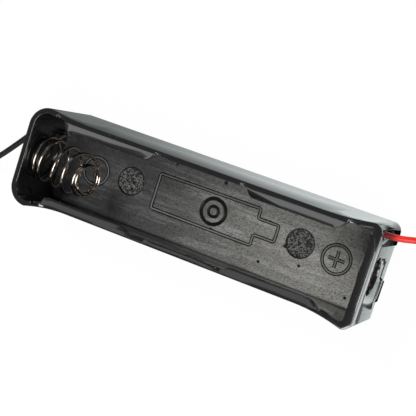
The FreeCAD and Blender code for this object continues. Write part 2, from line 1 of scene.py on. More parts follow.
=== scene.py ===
"""Dressed model of a moulded holder for one 18650 cell, with its two wire leads.

The holder lies on its base with the mouth up: +X towards the stamped contact, +Y
across the tray, +Z out of the mouth. Sizes of pieces and the camera's place are
millimetres, brought to metres by `metres` or MM. Lamps and finishes are in metres.
"""

import logging
import math
from dataclasses import dataclass, field
from enum import Enum
from functools import partial, reduce

import bmesh
import bpy
import numpy as np
from mathutils import Matrix, Vector


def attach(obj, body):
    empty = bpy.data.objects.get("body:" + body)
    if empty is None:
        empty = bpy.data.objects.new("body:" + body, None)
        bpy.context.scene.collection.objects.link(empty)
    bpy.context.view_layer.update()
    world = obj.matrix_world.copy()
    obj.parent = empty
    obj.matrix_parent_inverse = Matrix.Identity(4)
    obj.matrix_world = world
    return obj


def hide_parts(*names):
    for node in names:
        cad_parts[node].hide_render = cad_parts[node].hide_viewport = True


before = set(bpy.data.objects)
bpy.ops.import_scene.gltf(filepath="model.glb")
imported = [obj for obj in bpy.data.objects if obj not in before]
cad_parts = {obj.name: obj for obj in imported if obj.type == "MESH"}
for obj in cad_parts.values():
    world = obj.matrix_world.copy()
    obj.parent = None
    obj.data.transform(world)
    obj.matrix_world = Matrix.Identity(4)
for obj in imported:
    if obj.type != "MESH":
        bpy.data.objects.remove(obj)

logging.basicConfig(level=logging.INFO, format="%(message)s")
log = logging.getLogger("cell_holder")

MM = 0.001

# Welding and cutting of meshes, in metres and radians, and cuts across in millimetres.
SAME_POINT = 1e-7
CUT_GAP = 1e-6
FACET_GAP = 4e-5
FLAT_ANGLE = math.radians(0.5)
EDGE_ANGLE = math.radians(24)
CUTS_ACROSS = (-5.0, 0.0, 5.0)

Group = bpy.types.NodeTree
Node = bpy.types.Node
Piece = bpy.types.Object
Socket = bpy.types.NodeSocket
Triple = tuple[float, float, float]
Pair = tuple[float, float]


def metres(values: object) -> np.ndarray:
    """Millimetres, one number or nested ones, as an array of metres."""
    return np.asarray(values, dtype=float) * MM


# ---- shader helpers


def opaque(color: object) -> object:
    """Three numbers with an alpha of 1, or a socket as it is."""
    return (*color, 1.0) if isinstance(color, tuple) else color


class Graph:
    """Places and links the nodes of one node tree."""

    def __init__(self, tree: Group) -> None:
        """Starts on an existing tree."""
        self.tree = tree

    def add(
        self, kind: str, inputs: dict[int | str, object] | None = None, **settings: object
    ) -> Node:
        """Adds a node.

        Args:
            kind: the node's type name.
            inputs: a socket to link or a value to set, by the input's name or number.
            settings: attributes of the node.
        Returns:
            The new node.
        """
        node = self.tree.nodes.new(kind)
        for name, value in settings.items():
            setattr(node, name, value)
        for key, value in (inputs or {}).items():
            self.feed(value, node.inputs[key])
        return node

    def feed(self, source: object, target: Socket) -> None:
        """Links a socket to an input, or sets the input's own value.

        Args:
            source: a socket or a value.
            target: the input.
        """
        if isinstance(source, Socket):
            self.tree.links.new(source, target)
        else:
            target.default_value = source

    def math(self, operation: str, *inputs: object, clamp: bool = False) -> Socket:
        """The result of one Math node, held between 0 and 1 where clamp is set."""
        values = dict(enumerate(inputs))
        return self.add("ShaderNodeMath", values, operation=operation, use_clamp=clamp).outputs[0]

    def times(self, *values: object) -> Socket:
        """The product of two or more sockets or numbers."""
        return reduce(partial(self.math, "MULTIPLY"), values)

    def rest(self, value: object) -> Socket:
        """1 minus the value."""
        return self.math("SUBTRACT", 1.0, value)

    def length(self, first: object, second: object) -> Socket:
        """The square root of the sum of two squares."""
        squares = [self.math("POWER", part, 2.0) for part in (first, second)]
        return self.math("SQRT", self.math("ADD", *squares))

    def total(self, start: object, *terms: tuple[object, float]) -> Socket:
        """Adds sockets times their weights.

        Args:
            start: what they are added to.
            terms: a socket and its weight each.
        Returns:
            The sum's socket.
        """
        for value, weight in terms:
            start = self.math("ADD", start, self.times(value, weight))
        return start

    def axes(self, vector: Socket) -> tuple[Socket, ...]:
        """The X, Y and Z of a vector."""
        return tuple(self.add("ShaderNodeSeparateXYZ", {0: vector}).outputs)

    def ramp(self, value: object, low: float, high: float) -> Socket:
        """A smooth step from 0 at low to 1 at high."""
        ends = {"Value": value, "From Min": low, "From Max": high}
        return self.add("ShaderNodeMapRange", ends, interpolation_type="SMOOTHSTEP").outputs[0]

    def span(self, value: object, low: float, high: float) -> Socket:
        """Maps 0 to 1 on to low to high, straight."""
        ends = {"Value": value, "To Min": low, "To Max": high}
        return self.add("ShaderNodeMapRange", ends).outputs[0]

    def noise(self, vector: Socket, scale: object, detail: float, finer: float = 0.5) -> Socket:
        """Fractal noise of detail octaves, each finer one weighted by finer."""
        inputs = {"Vector": vector, "Scale": scale, "Detail": detail, "Roughness": finer}
        return self.add("ShaderNodeTexNoise", inputs).outputs["Fac"]

    def stretched(self, vector: Socket, scale: Triple) -> Socket:
        """Coordinates times a factor along each axis."""
        return self.add("ShaderNodeMapping", {"Vector": vector, "Scale": scale}).outputs[0]

    def blend(self, factor: object, first: object, second: object) -> Socket:
        """The first colour at a factor of 0, the second at 1."""
        inputs = {"Factor": factor, 6: opaque(first), 7: opaque(second)}
        return self.add("ShaderNodeMix", inputs, data_type="RGBA").outputs[2]

    def place(self, group: Group, **inputs: object) -> bpy.types.NodeOutputs:
        """Adds a shared group, with _ for a space in its inputs' names: its outputs."""
        named = {name.replace("_", " "): value for name, value in inputs.items()}
        return self.add("ShaderNodeGroup", named, node_tree=group).outputs


def fresh_graph(owner: bpy.types.ID, kind: str) -> tuple[Graph, Socket]:
    """Clears the nodes of a material or world and adds its output.

    Args:
        owner: the material or world.
        kind: type name of its output node.
    Returns:
        The graph and the output's Surface socket.
    """
    owner.use_nodes = True
    owner.node_tree.nodes.clear()
    graph = Graph(owner.node_tree)
    return graph, graph.add(kind).inputs["Surface"]


def new_group(
    name: str, inputs: dict[str, float], outputs: tuple[str, ...]
) -> tuple[Graph, bpy.types.NodeOutputs, bpy.types.NodeInputs]:
    """Starts a shared shader group with named number sockets and a Vector input.

    Args:
        name: the group's name.
        inputs: default value by input name.
        outputs: names of the outputs.
    Returns:
        The group's graph, the sockets that it is given and those that it fills.
    """
    tree = bpy.data.node_groups.new(name, "ShaderNodeTree")
    face = tree.interface
    face.new_socket(name="Vector", in_out="INPUT", socket_type="NodeSocketVector")
    for label, value in inputs.items():
        socket = face.new_socket(name=label, in_out="INPUT", socket_type="NodeSocketFloat")
        socket.default_value = value
    for label in outputs:
        face.new_socket(name=label, in_out="OUTPUT", socket_type="NodeSocketFloat")
    graph = Graph(tree)
    return graph, graph.add("NodeGroupInput").outputs, graph.add("NodeGroupOutput").inputs


def make_grain_group() -> Group:
    """Fine skin of a moulding or wire: small lumps over slow waves.

    Height is fine noise plus a third of slow noise. Tone is the slow noise alone.

    Returns:
        The group, with outputs Height and Tone.
    """
    graph, given, made = new_group(
        "fine_grain", {"Scale": 4000.0, "Slow Scale": 250.0}, ("Height", "Tone")
    )
    fine = graph.noise(given["Vector"], given["Scale"], 3.0)
    slow = graph.noise(given["Vector"], given["Slow Scale"], 4.0)
    graph.feed(graph.total(fine, (slow, 0.33)), made["Height"])
    graph.feed(graph.ramp(slow, 0.3, 0.7), made["Tone"])
    return graph.tree


def make_streak_group() -> Group:
    """Long fine scratches that run along X, as a polished mould leaves them.

    Two noises on coordinates squeezed along X are multiplied, so that streaks come
    in bands. Height is the product, Mask its brighter part.

    Returns:
        The group, with outputs Height and Mask.
    """
    graph, given, made = new_group(
        "mould_streaks", {"Length Share": 0.03, "Scale": 5000.0}, ("Height", "Mask")
    )
    x, y, z = graph.axes(given["Vector"])
    squeezed = {0: graph.times(x, given["Length Share"]), 1: y, 2: z}
    along = graph.add("ShaderNodeCombineXYZ", squeezed).outputs[0]
    fine = graph.noise(along, given["Scale"], 4.0, 0.65)
    band = graph.noise(along, graph.times(given["Scale"], 0.13), 2.0)
    product = graph.times(fine, graph.ramp(band, 0.3, 0.65))
    graph.feed(product, made["Height"])
    graph.feed(graph.ramp(product, 0.25, 0.6), made["Mask"])
    return graph.tree


def make_speckle_group() -> Group:
    """Coarse spark-eroded speckle for the two round marks on the tray's floor.

    Height is a fine noise with hard steps. Mask is the disc of the given radius
    round each of two centres on X, found from the distance in plan. Edge is a thin
    ring at that radius.

    Returns:
        The group, with outputs Height, Mask and Edge.
    """
    graph, given, made = new_group(
        "round_speckle",
        {"Offset": 0.02, "Radius": 0.003, "Scale": 4200.0},
        ("Height", "Mask", "Edge"),
    )
    x, y, _ = graph.axes(given["Vector"])
    along = graph.math("SUBTRACT", graph.math("ABSOLUTE", x), given["Offset"])
    distance = graph.length(along, y)
    lumps = graph.noise(given["Vector"], given["Scale"], 2.0)
    graph.feed(graph.ramp(lumps, 0.46, 0.58), made["Height"])
    graph.feed(graph.math("LESS_THAN", distance, given["Radius"]), made["Mask"])
    off = graph.math("ABSOLUTE", graph.math("SUBTRACT", distance, given["Radius"]))
    graph.feed(graph.rest(graph.ramp(off, 0.00006, 0.0002)), made["Edge"])
    return graph.tree


def make_dust_group() -> Group:
    """Sparse pale specks, denser where a slow noise is high.

    Returns:
        The group, with the output Mask.
    """
    graph, given, made = new_group("stray_dust", {"Scale": 1500.0, "Amount": 0.5}, ("Mask",))
    spread = {"Vector": given["Vector"], "Scale": given["Scale"]}
    cells = graph.add("ShaderNodeTexVoronoi", spread).outputs["Distance"]
    near = graph.math("LESS_THAN", cells, 0.12)
    patch = graph.noise(given["Vector"], graph.times(given["Scale"], 0.2), 2.0)
    graph.feed(graph.times(near, graph.ramp(patch, 0.5, 0.75), given["Amount"]), made["Mask"])
    return graph.tree


@dataclass
class SharedEffects:
    """The shader groups that several finishes use."""

    grain: Group = field(default_factory=make_grain_group)
    streaks: Group = field(default_factory=make_streak_group)
    speckle: Group = field(default_factory=make_speckle_group)
    dust: Group = field(default_factory=make_dust_group)


# ---- finishes


@dataclass(frozen=True)
class Finish:
    """A named material whose colour, roughness and relief come from nodes."""

    name: str
    slot: str
    color: Triple
    roughness: float = 0.4
    metallic: float = 0.0

    def build(self, effects: SharedEffects) -> bpy.types.Material:
        """Makes the material.

        Args:
            effects: the shared shader groups.
        Returns:
            The material, ready to be put on a piece.
        """
        material = bpy.data.materials.new(self.name)
        graph, surface = fresh_graph(material, "ShaderNodeOutputMaterial")
        shader = graph.add("ShaderNodeBsdfPrincipled", {"Metallic": self.metallic})
        graph.feed(shader.outputs[0], surface)
        where = graph.add("ShaderNodeTexCoord").outputs["Object"]
        self.dress(graph, shader, where, effects)
        return material

    def dress(self, graph: Graph, shader: Node, where: Socket, effects: SharedEffects) -> None:
        """Feeds colour, roughness and bump.

        Args:
            graph: the material's nodes.
            shader: its Principled BSDF.
            where: Object coordinates.
            effects: the shared shader groups.
        """
        grain = graph.place(effects.grain, Vector=where, Scale=5000.0, Slow_Scale=300.0)
        color = graph.blend(grain["Tone"], self.shade(0.85), self.color)
        graph.feed(color, shader.inputs["Base Color"])
        graph.feed(self.gloss(graph, grain["Tone"], 0.85, 1.15), shader.inputs["Roughness"])
        self.relief(graph, shader, grain["Height"], 0.08, 0.00004)

    def shade(self, factor: float) -> Triple:
        """The finish's colour times a factor."""
        return tuple(c * factor for c in self.color)

    def gloss(self, graph: Graph, tone: Socket, low: float, high: float) -> Socket:
        """The roughness, times low where the tone is 0 and high where it is 1."""
        return graph.span(tone, self.roughness * low, self.roughness * high)

    @staticmethod
    def relief(graph: Graph, shader: Node, height: Socket, strength: float, depth: float) -> None:
        """Turns a height, whose 1 is depth metres, into the shader's normal."""
        bump = {"Strength": strength, "Distance": depth, "Height": height}
        graph.feed(graph.add("ShaderNodeBump", bump).outputs[0], shader.inputs["Normal"])


@dataclass(frozen=True)
class MouldedPlastic(Finish):
    """Black moulding: glossy outside, worn, speckled and dented on the tray's floor.

    A pair says where a smooth step starts and ends, but room is how far the inside
    reaches from the middle along X and Y. A dent is x, y and radius in millimetres.
    The floor's grey colours are painted sheen, lighter along X as painted light.
    """

    ior: float = 1.54
    coat_ior: float = 1.8
    coat_roughness: float = 0.08
    room: Pair = (0.0378, 0.0097)
    floor_top: float = 0.0018
    floor_fade: Pair = (0.0020, 0.0030)
    floor_start: Pair = (0.0012, 0.0014)
    # Painted light and painted sheen: grey floor colours on the black plastic, dull at -X, bright
    # at +X, pale on the streaks.
    painted_light_run: Pair = (-0.022, 0.032)
    worn_sheen_dull: Triple = (0.076, 0.076, 0.0765)
    worn_sheen_bright: Triple = (0.371, 0.366, 0.3365)
    worn_sheen_pale: Triple = (0.426, 0.426, 0.4265)
    pit_stretch: Triple = (0.20, 1.0, 1.0)
    pit_scale: float = 11500.0
    pit_step: Pair = (0.28, 0.60)
    disc_offset: float = 0.02
    disc_radius: float = 0.00302
    # Painted sheen: grey dots on the discs' spark-eroded lumps.
    speck: Triple = (0.19, 0.19, 0.18)
    dust_color: Triple = (0.30, 0.29, 0.27)
    # Painted shade: the near-black colour of the dents and of a ring round each disc.
    dent_shade_color: Triple = (0.002, 0.002, 0.002)
    dents: tuple[Triple, ...] = (
        (0.74, 6.63, 0.55), (-10.93, 6.99, 0.45), (12.72, -6.57, 0.42), (21.21, -4.46, 0.42),
        (32.31, -7.27, 0.45), (17.15, -1.57, 0.55), (0.61, -3.76, 0.5), (33.6, -6.9, 0.3),
    )
    wall_fade: Pair = (0.0125, 0.0145)
    end_run: Pair = (0.0335, 0.0345)
    rim: float = 0.0178
    coat_loss: float = 0.85

    def dress(self, graph: Graph, shader: Node, where: Socket, effects: SharedEffects) -> None:
        """Black plastic with wear, pits, two speckled discs, dents, grain and dust.

        The floor's grey is painted sheen that grows lighter along X as painted light,
        and the dents and the discs' rims are darkened as painted shade.

        Args:
            graph: the material's nodes.
            shader: its Principled BSDF.
            where: Object coordinates.
            effects: the shared shader groups.
        """
        grain = graph.place(effects.grain, Vector=where, Scale=3500.0, Slow_Scale=180.0)
        streaks = graph.place(effects.streaks, Vector=where, Length_Share=0.09, Scale=6500.0)
        dust = graph.place(effects.dust, Vector=where, Scale=1400.0, Amount=0.25)
        discs = {"Offset": self.disc_offset, "Radius": self.disc_radius, "Scale": 3600.0}
        speckle = graph.place(effects.speckle, Vector=where, **discs)
        x, y, z = graph.axes(where)
        from_middle = graph.math("ABSOLUTE", x)
        between = graph.math("LESS_THAN", from_middle, self.room[0])
        beside = graph.math("LESS_THAN", graph.math("ABSOLUTE", y), self.room[1])
        indoors = graph.times(beside, between)
        low = graph.rest(graph.ramp(z, *self.floor_fade))
        on_floor = graph.times(indoors, low, graph.ramp(z, *self.floor_start))
        disc = graph.times(on_floor, speckle["Mask"])
        bare = graph.times(on_floor, graph.rest(speckle["Mask"]))

        # Painted light: a ramp along X that lightens the floor's painted sheen towards +X.
        painted_light_along_x = graph.ramp(x, *self.painted_light_run)
        lumps = graph.noise(graph.stretched(where, self.pit_stretch), self.pit_scale, 4.0)
        pitted = graph.ramp(lumps, *self.pit_step)
        tone = graph.times(streaks["Mask"], bare, pitted, graph.span(painted_light_along_x, 0.2, 1.0))
        dots = graph.times(speckle["Height"], disc)
        # Painted shade: a dark ring round each disc and dark dents, which the bump below also
        # sinks.
        dents_and_shade = self.mar(graph, where, graph.times(speckle["Edge"], on_floor))
        color = self.color
        # Colour layers: painted sheen on the floor, lighter along X as painted light; pale painted
        # sheen on the streaks; black discs; grey specks on them as painted sheen; dust; dark dents
        # and disc rims as painted shade.
        for share, layer in (
            (graph.times(on_floor, pitted), graph.blend(painted_light_along_x, self.worn_sheen_dull, self.worn_sheen_bright)),
            (tone, self.worn_sheen_pale),
            (disc, self.color),
            (dots, self.speck),
            (dust["Mask"], self.dust_color),
            (dents_and_shade, self.dent_shade_color),
        ):
            color = graph.blend(share, color, layer)
        graph.feed(color, shader.inputs["Base Color"])

        skin = self.gloss(graph, grain["Tone"], 0.9, 1.12)
        rough = graph.total(skin, (bare, 0.22), (disc, 0.26), (tone, -0.06))
        graph.feed(rough, shader.inputs["Roughness"])
        lines = graph.times(streaks["Height"], bare)
        fine = graph.times(grain["Height"], 0.12)
        height = graph.total(fine, (lines, 0.5), (dots, 1.2), (dents_and_shade, -1.5))
        self.relief(graph, shader, height, 0.6, 0.00006)

        below_rim = graph.math("LESS_THAN", z, self.rim)
        ends = graph.times(graph.ramp(from_middle, *self.end_run), below_rim)
        deep = graph.math("MAXIMUM", graph.rest(graph.ramp(z, *self.wall_fade)), ends)
        open_skin = graph.rest(graph.times(deep, indoors, self.coat_loss))
        graph.feed(graph.times(open_skin, graph.rest(on_floor)), shader.inputs["Coat Weight"])
        shader.inputs["IOR"].default_value = self.ior
        shader.inputs["Coat IOR"].default_value = self.coat_ior
        shader.inputs["Coat Roughness"].default_value = self.coat_roughness

    def mar(self, graph: Graph, where: Socket, dents_and_shade: Socket) -> Socket:
        """Adds the dents to a mask: 1 within half a dent's radius, 0 beyond the radius.

        The mask both sinks the dents and darkens them as painted shade.

        Args:
            graph: the material's nodes.
            where: Object coordinates.
            dents_and_shade: the mask that they are added to.
        Returns:
            The joined mask.
        """
        for x, y, radius in self.dents:
            ends = {0: where, 1: (x * MM, y * MM, self.floor_top)}
            away = graph.add("ShaderNodeVectorMath", ends, operation="DISTANCE").outputs["Value"]
            far = graph.ramp(away, radius * MM / 2, radius * MM)
            dents_and_shade = graph.math("MAXIMUM", dents_and_shade, graph.rest(far))
        return dents_and_shade


@dataclass(frozen=True)
class PaintedShadeStrip(Finish):
    """Painted shade: matt black strips beside the raised marks, laid where the shade at their edges
    falls.
    """

    def dress(self, graph: Graph, shader: Node, where: Socket, effects: SharedEffects) -> None:
        """The plain finish without its gloss."""
        super().dress(graph, shader, where, effects)
        shader.inputs["Specular IOR Level"].default_value = 0.05


@dataclass(frozen=True)
class PlatedMetal(Finish):
    """Bright plated spring wire or strip, with faint drawing marks and stains."""

    stain: Triple = (0.45, 0.27, 0.16)
    stain_amount: float = 0.25

    def dress(self, graph: Graph, shader: Node, where: Socket, effects: SharedEffects) -> None:
        """Plate colour, warm stains in patches, and fine grain.

        Args:
            graph: the material's nodes.
            shader: its Principled BSDF.
            where: Object coordinates.
            effects: the shared shader groups.
        """
        grain = graph.place(effects.grain, Vector=where, Scale=6000.0, Slow_Scale=450.0)
        patch = graph.ramp(graph.noise(where, 320.0, 4.0), 0.5, 0.78)
        amount = graph.times(patch, self.stain_amount)
        graph.feed(graph.blend(amount, self.color, self.stain), shader.inputs["Base Color"])
        rough = graph.total(self.gloss(graph, grain["Tone"], 0.7, 1.3), (amount, 0.3))
        graph.feed(rough, shader.inputs["Roughness"])
        self.relief(graph, shader, grain["Height"], 0.12, 0.00003)


@dataclass(frozen=True)
class Insulation(Finish):
    """Flexible extruded sleeve of a lead, with a painted shadow where it leaves the tray."""

    # Where along X the painted shadow at the sleeve's root fades out, in metres.
    root: Pair | None = None
    dust_color: Triple = (0.6, 0.57, 0.53)

    def dress(self, graph: Graph, shader: Node, where: Socket, effects: SharedEffects) -> None:
        """Sleeve colour with slow waves, light dust, and painted shadow up to the root's end.

        Args:
            graph: the material's nodes.
            shader: its Principled BSDF.
            where: Object coordinates.
            effects: the shared shader groups.
        """
        grain = graph.place(effects.grain, Vector=where, Scale=2600.0, Slow_Scale=160.0)
        dust = graph.place(effects.dust, Vector=where, Scale=2100.0, Amount=0.18)
        color = graph.blend(grain["Tone"], self.shade(0.78), self.color)
        color = graph.blend(dust["Mask"], color, self.dust_color)
        # Painted shadow: the sleeve is darkened up to the root's end, where the tray's corner
        # shades it.
        if self.root:
            past_root_shadow = graph.ramp(graph.axes(where)[0], *self.root)
            color = graph.blend(past_root_shadow, self.shade(0.2), color)
        graph.feed(color, shader.inputs["Base Color"])
        graph.feed(self.gloss(graph, grain["Tone"], 0.85, 1.1), shader.inputs["Roughness"])
        self.relief(graph, shader, grain["Height"], 0.25, 0.00004)


@dataclass(frozen=True)
class StageFloor(Finish):
    """Pale floor that the camera sees as white, with the object's soft shadow."""

    white_share: float = 0.97
    # Painted shade and painted reflection in what reflections see: levels along X, a cool tint, a
    # dark band past the contact end's foot and a dark patch at its +Y corner.
    painted_reflection_levels: Pair = (0.24, 0.82)
    painted_reflection_run: Pair = (-0.035, 0.030)
    mirror_tint: Triple = (0.91, 0.985, 0.975)
    foot: float = 0.0384
    painted_foot_shadow_run: Pair = (0.0391, 0.0395)
    corner_shade: Pair = (0.0430, 0.0105)
    corner_run: Pair = (0.0030, 0.0072)

    def build(self, effects: SharedEffects) -> bpy.types.Material:
        """Diffuse floor, mixed towards white for the camera and for reflections.

        Reflections see its glow with a cool painted tint, dim at -X and brighter along X as
        painted shade, and darkened as painted shadow beside the contact end's foot and its +Y
        corner, where the tray's own shadow would lie.

        Args:
            effects: not used here.
        Returns:
            The floor's material.
        """
        material = bpy.data.materials.new(self.name)
        graph, surface = fresh_graph(material, "ShaderNodeOutputMaterial")
        plain = graph.add("ShaderNodeBsdfDiffuse", {"Color": opaque(self.color)})
        rays = graph.add("ShaderNodeLightPath").outputs
        seen = graph.times(rays["Is Camera Ray"], self.white_share)
        mirror = graph.math("MAXIMUM", rays["Is Glossy Ray"], rays["Is Transmission Ray"])
        x, y, _ = graph.axes(graph.add("ShaderNodeTexCoord").outputs["Object"])
        # Painted shade: reflections see the glow dim at -X, brighter along X, and full past the
        # foot.
        level = graph.span(graph.ramp(x, *self.painted_reflection_run), *self.painted_reflection_levels)
        level = graph.math("MAXIMUM", level, graph.math("GREATER_THAN", x, self.foot))
        # Painted shadow: a dark band just past the contact end's foot.
        before = graph.math("LESS_THAN", x, self.foot)
        clear = graph.math("MAXIMUM", before, graph.ramp(x, *self.painted_foot_shadow_run))
        away = [
            graph.math("SUBTRACT", part, centre) for part, centre in zip((x, y), self.corner_shade)
        ]
        # Painted shadow: a dark patch round the contact end's +Y corner.
        level = graph.times(level, clear, graph.ramp(graph.length(*away), *self.corner_run))
        # Painted reflection: a cool tint that only reflections see.
        tint = graph.blend(mirror, (1.0, 1.0, 1.0), self.mirror_tint)
        strength = graph.rest(graph.times(mirror, graph.rest(level)))
        glow = graph.add("ShaderNodeEmission", {"Color": tint, "Strength": strength})
        share = graph.math("ADD", seen, mirror, clamp=True)
        layers = {0: share, 1: plain.outputs[0], 2: glow.outputs[0]}
        graph.feed(graph.add("ShaderNodeMixShader", layers).outputs[0], surface)
        return material


class Look(Enum):
    """The finishes of this object."""

    TRAY = MouldedPlastic("black_moulding", "moulded_plastic", (0.006, 0.006, 0.0065), 0.22)
    # Painted sheen: the raised marks are black moulding, coloured grey for the light on their tops.
    MARK = Finish("raised_mark", "moulded_plastic", (0.18, 0.18, 0.172), 0.36)
    # Painted shade: the black strips beside the raised marks.
    SHADE_STRIP = PaintedShadeStrip("mark_shade_strip", "moulded_plastic", (0.0015, 0.0015, 0.0015), 0.9)
    SPRING = PlatedMetal(
        "spring_plate", "spring_wire", (0.66, 0.58, 0.51), 0.10, 1.0, (0.40, 0.22, 0.12), 0.7
    )
    CONTACT = PlatedMetal(
        "contact_plate", "contact_plate", (0.74, 0.66, 0.58), 0.26, 1.0, (0.5, 0.3, 0.2), 0.5
    )
    STRANDS = PlatedMetal(
        "tinned_strands", "tinned_wire", (0.78, 0.76, 0.73), 0.28, 1.0, (0.62, 0.36, 0.2), 0.35
    )
    SOLDER = PlatedMetal(
        "soldered_joint", "solder", (0.66, 0.64, 0.6), 0.3, 1.0, (0.28, 0.12, 0.04), 0.85
    )
    # The red sleeve's root range is its painted shadow beside the tray's corner.
    RED = Insulation(
        "red_sleeve", "red_insulation", (0.72, 0.022, 0.012), 0.36, root=(0.0395, 0.0415)
    )
    BLACK = Insulation("black_sleeve", "black_insulation", (0.012, 0.012, 0.013), 0.38)
    FLOOR = StageFloor("pale_floor", "", (0.82, 0.82, 0.82))


class Paints:
    """Builds each finish once and puts it on pieces."""

    def __init__(self) -> None:
        """Makes the shared groups and an empty store."""
        self.effects = SharedEffects()
        self.made: dict[Look, bpy.types.Material] = {}

    def get(self, look: Look) -> bpy.types.Material:
        """The look's material, made at its first use.

        Args:
            look: the finish.
        Returns:
            Its material.
        """
        if look not in self.made:
            self.made[look] = look.value.build(self.effects)
        return self.made[look]

    def coat(self, piece: Piece, look: Look) -> Piece:
        """Gives a piece one material all over.

        Args:
            piece: a mesh or curve object.
            look: its finish.
        Returns:
            The piece.
        """
        piece.data.materials.clear()
        piece.data.materials.append(self.get(look))
        return piece


# ---- mesh helpers


def add_object(name: str, data: bpy.types.ID) -> Piece:
    """Makes an object at the origin and links it.

    Args:
        name: the object's name.
        data: its mesh, curve, light or camera.
    Returns:
        The linked object.
    """
    piece = bpy.data.objects.new(name, data)
    bpy.context.collection.objects.link(piece)
    return piece


def add_mesh(
    name: str, points: np.ndarray, faces: list[tuple[int, ...]], smooth: bool = True
) -> Piece:
    """Makes a mesh object at the origin.

    Args:
        name: the piece's name.
        points: corner positions in metres, one row each.
        faces: corner indices of each face.
        smooth: whether faces are shaded smooth.
    Returns:
        The linked object.
    """
    mesh = bpy.data.meshes.new(name)
    mesh.from_pydata(points.tolist(), [], faces)
    mesh.polygons.foreach_set("use_smooth", np.full(len(mesh.polygons), smooth))
    mesh.update()
    return add_object(name, mesh)


def grid_faces(rows: int, columns: int, closed: bool) -> list[tuple[int, ...]]:
    """Faces of a grid of points stored row by row, capped where it is open.

    Args:
        rows: number of rows.
        columns: points in each row.
        closed: whether the last row joins the first.
    Returns:
        The faces. Rows are rings: their last point joins their first.
    """
    row = np.arange(rows if closed else rows - 1)[:, None]
    column = np.arange(columns)[None, :]
    here, after = row * columns, (row + 1) % rows * columns
    aside = (column + 1) % columns
    quads = np.stack([here + column, here + aside, after + aside, after + column], axis=-1)
    faces = [tuple(quad) for quad in quads.reshape(-1, 4).tolist()]
    if not closed:
        faces.append(tuple(range(columns - 1, -1, -1)))
        faces.append(tuple(range((rows - 1) * columns, rows * columns)))
    return faces


def path_frames(path: np.ndarray, closed: bool, hint: np.ndarray) -> tuple[np.ndarray, np.ndarray]:
    """Two directions across a path at each of its points.

    The tangent is the difference of the neighbours. The first direction is the
    tangent crossed with the hint, the second is the tangent crossed with that.

    Args:
        path: points, one row each.
        closed: whether the last point joins the first.
        hint: a direction that the path never follows.
    Returns:
        The two unit directions at each point.
    """
    if closed:
        tangent = np.roll(path, -1, axis=0) - np.roll(path, 1, axis=0)
    else:
        tangent = np.gradient(path, axis=0)
    tangent /= np.linalg.norm(tangent, axis=1, keepdims=True)
    aside = np.cross(tangent, hint)
    aside /= np.linalg.norm(aside, axis=1, keepdims=True)
    return aside, np.cross(aside, tangent)


def sweep(
    name: str, path: np.ndarray, profile: np.ndarray, hint: Triple, closed: bool = False
) -> Piece:
    """Carries a closed profile along a path.

    Point (i, j) is path[i] plus profile[j] measured along the two directions
    across the path there.

    Args:
        name: the piece's name.
        path: centre points in metres.
        profile: plane points in metres, one set or one set per path point.
        hint: a direction that the path never follows.
        closed: whether the path is a loop.
    Returns:
        The swept piece, with its open ends closed.
    """
    aside, upward = path_frames(path, closed, np.asarray(hint, dtype=float))
    shape = np.broadcast_to(profile, (len(path), *profile.shape[-2:]))
    points = path[:, None] + shape[..., :1] * aside[:, None] + shape[..., 1:] * upward[:, None]
    piece = add_mesh(name, points.reshape(-1, 3), grid_faces(*shape.shape[:2], closed))
    shell = bmesh.new()
    shell.from_mesh(piece.data)
    bmesh.ops.remove_doubles(shell, verts=shell.verts, dist=SAME_POINT)
    bmesh.ops.recalc_face_normals(shell, faces=shell.faces)
    shell.to_mesh(piece.data)
    shell.free()
    return piece


def ring(radius: float, count: int) -> np.ndarray:
    """Points of a circle: cosine and sine of equal steps, times the radius."""
    turn = np.linspace(0, 2 * math.pi, count, endpoint=False)
    return radius * np.stack([np.cos(turn), np.sin(turn)], axis=1)


def moulded_copy(node: str, name: str, width: float, cuts: tuple[float, ...] = ()) -> Piece:
    """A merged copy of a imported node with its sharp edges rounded.

    Args:
        node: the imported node's name.
        name: the copy's name.
        width: the rounding's width in metres.
        cuts: places along X, in millimetres, where long faces are divided.
    Returns:
        The copy, with a live Bevel modifier.
    """
    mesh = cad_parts[node].data.copy()
    mesh.name = name
    piece = add_object(name, mesh)
    shell = bmesh.new()
    shell.from_mesh(mesh)
    bmesh.ops.remove_doubles(shell, verts=shell.verts, dist=FACET_GAP)
    bmesh.ops.dissolve_limit(shell, angle_limit=FLAT_ANGLE, verts=shell.verts, edges=shell.edges)
    for normal, places in (((1, 0, 0), cuts), ((0, 1, 0), CUTS_ACROSS)):
        for place in metres(places):
            parts = [*shell.verts, *shell.edges, *shell.faces]
            point = Vector(normal) * place
            bmesh.ops.bisect_plane(
                shell, geom=parts, plane_co=point, plane_no=normal, dist=CUT_GAP
            )
    shell.to_mesh(mesh)
    shell.free()
    mesh.polygons.foreach_set("use_smooth", np.full(len(mesh.polygons), True))
    bevel = piece.modifiers.new("rounded edges", "BEVEL")
    bevel.width = width
    bevel.segments = 2
    bevel.limit_method = "ANGLE"
    bevel.angle_limit = EDGE_ANGLE
    bevel.harden_normals = True
    bevel.use_clamp_overlap = False
    bevel.miter_outer = "MITER_ARC"
    return piece


# ---- the stage


@dataclass(frozen=True)
class Lamp:
    """One soft lamp that faces the holder, in metres and watts."""

    name: str
    at: Triple
    size: Pair
    power: float
    in_reflections: bool = True

    def hang(self) -> None:
        """Hangs the lamp."""
        data = bpy.data.lights.new(self.name, "AREA")
        data.shape = "RECTANGLE"
        data.size, data.size_y = self.size
        data.energy = self.power
        lamp = add_object(self.name, data)
        lamp.visible_glossy = self.in_reflections
        place = Vector(self.at)
        turn = (Vector((0, 0, 0.01)) - place).to_track_quat("-Z", "Y").to_matrix().to_4x4()
        lamp.matrix_world = Matrix.Translation(place) @ turn


